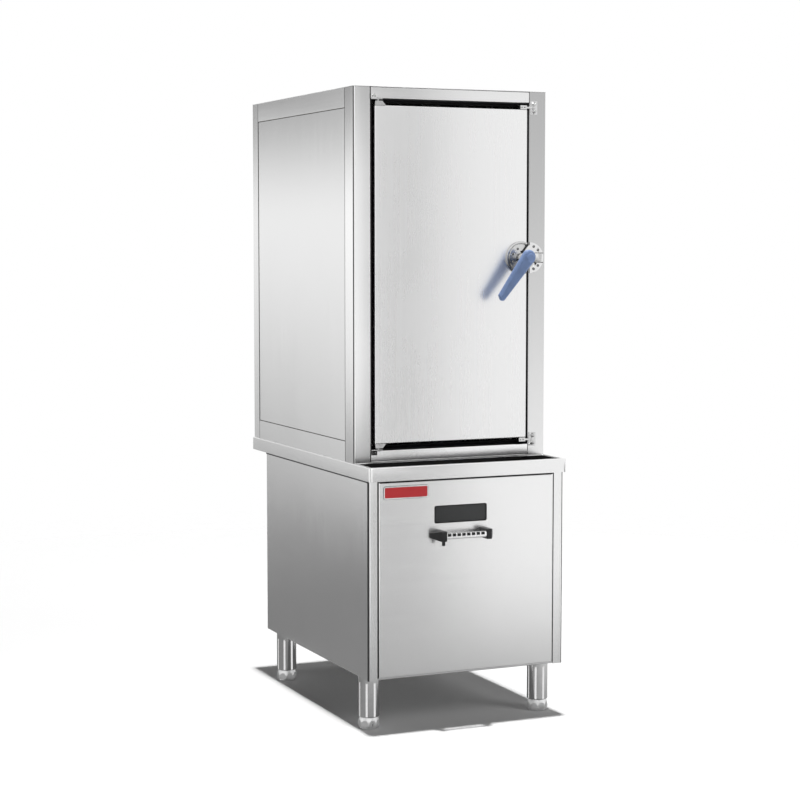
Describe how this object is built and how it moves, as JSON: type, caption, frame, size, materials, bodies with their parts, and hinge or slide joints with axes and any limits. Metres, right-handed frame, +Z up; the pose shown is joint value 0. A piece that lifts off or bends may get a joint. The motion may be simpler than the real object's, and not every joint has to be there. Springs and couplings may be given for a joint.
{
  "type": "steaming cabinet",
  "caption": "Free-standing stainless steel steaming cabinet with an insulated chamber, a latched door, a worktop ledge and a pull-out drawer in the base",
  "frame": {"origin": "middle of the foot of the bounding box, on the floor", "axes": "X to the right as seen from the front, Y from the front to the back, Z up"},
  "size_m": [0.632, 1.016, 1.85],
  "materials": {
    "satin_steel": "satin",
    "polished_steel": "polished",
    "chrome": "mirror polished",
    "black_rubber": "matt",
    "black_plastic": "moulded",
    "blue_plastic": "moulded",
    "dark_window": "gloss",
    "stone_wool": "fibrous",
    "cast_aluminium": "as cast",
    "coil_winding": "lacquered copper wire in a resin holder"
  },
  "bodies": {
    "cabinet": {"front_post_left": "satin_steel", "front_post_right": "satin_steel", "front_rail_top": "satin_steel", "front_rail_bottom": "satin_steel", "rear_post_left": "satin_steel", "rear_post_right": "satin_steel", "side_panel_left": "satin_steel", "side_panel_right": "satin_steel", "back_panel": "satin_steel", "roof_cap": "satin_steel", "floor_pan": "satin_steel", "liner_left": "polished_steel", "liner_right": "polished_steel", "liner_back": "polished_steel", "liner_top": "polished_steel", "wall_insulation": "stone_wool", "shelf_ladder_left": "satin_steel", "shelf_ladder_right": "satin_steel", "shelf_lower": "polished_steel", "shelf_middle": "polished_steel", "shelf_upper": "polished_steel", "steam_riser": "polished_steel", "door_gasket": "black_rubber", "hinge_bracket_top": "satin_steel", "hinge_bracket_bottom": "satin_steel", "catch_keeper_top": "satin_steel", "catch_keeper_bottom": "satin_steel", "latch_keeper": "polished_steel", "worktop": "satin_steel", "base_side_left": "satin_steel", "base_side_right": "satin_steel", "base_back": "satin_steel", "base_floor": "satin_steel", "slide_channel_left": "satin_steel", "slide_channel_right": "satin_steel", "boiler": "polished_steel", "induction_coil": "coil_winding"},
    "door": {"door_skin": "satin_steel", "door_inner_sheet": "polished_steel", "door_insulation": "stone_wool", "hinge_block_top": "satin_steel", "hinge_block_bottom": "satin_steel", "catch_block_top": "satin_steel", "catch_block_bottom": "satin_steel", "latch_plate": "polished_steel"},
    "latch": {"latch_spindle": "chrome", "latch_lever": "blue_plastic"},
    "drawer": {"drawer_front": "satin_steel", "display_window": "dark_window", "drawer_tray": "satin_steel", "slide_runner_left": "satin_steel", "slide_runner_right": "satin_steel", "power_module": "cast_aluminium", "handle_cap_left": "black_plastic", "handle_cap_right": "black_plastic", "handle_bar": "chrome"},
    "foot_fl": {"foot_front_left": "polished_steel"},
    "foot_fr": {"foot_front_right": "polished_steel"},
    "foot_rl": {"foot_rear_left": "polished_steel"},
    "foot_rr": {"foot_rear_right": "polished_steel"}
  },
  "joints": [
    {"name": "door_hinge", "type": "hinge", "parent": "cabinet", "child": "door", "pos_m": [-0.233, -0.347, 1.31], "axis": [0, 0, -1], "range_deg": [0, 120]},
    {"name": "latch_turn", "type": "hinge", "parent": "door", "child": "latch", "pos_m": [0.2245, -0.365, 1.36], "axis": [0, 1, 0], "range_deg": [0, 52]},
    {"name": "drawer_slide", "type": "slide", "parent": "cabinet", "child": "drawer", "axis": [0, -1, 0], "range_m": [0, 0.4]},
    {"name": "foot_fl_screw", "type": "slide", "parent": "cabinet", "child": "foot_fl", "axis": [0, 0, -1], "range_m": [0, 0.03]},
    {"name": "foot_fr_screw", "type": "slide", "parent": "cabinet", "child": "foot_fr", "axis": [0, 0, -1], "range_m": [0, 0.03]},
    {"name": "foot_rl_screw", "type": "slide", "parent": "cabinet", "child": "foot_rl", "axis": [0, 0, -1], "range_m": [0, 0.03]},
    {"name": "foot_rr_screw", "type": "slide", "parent": "cabinet", "child": "foot_rr", "axis": [0, 0, -1], "range_m": [0, 0.03]}
  ]
}
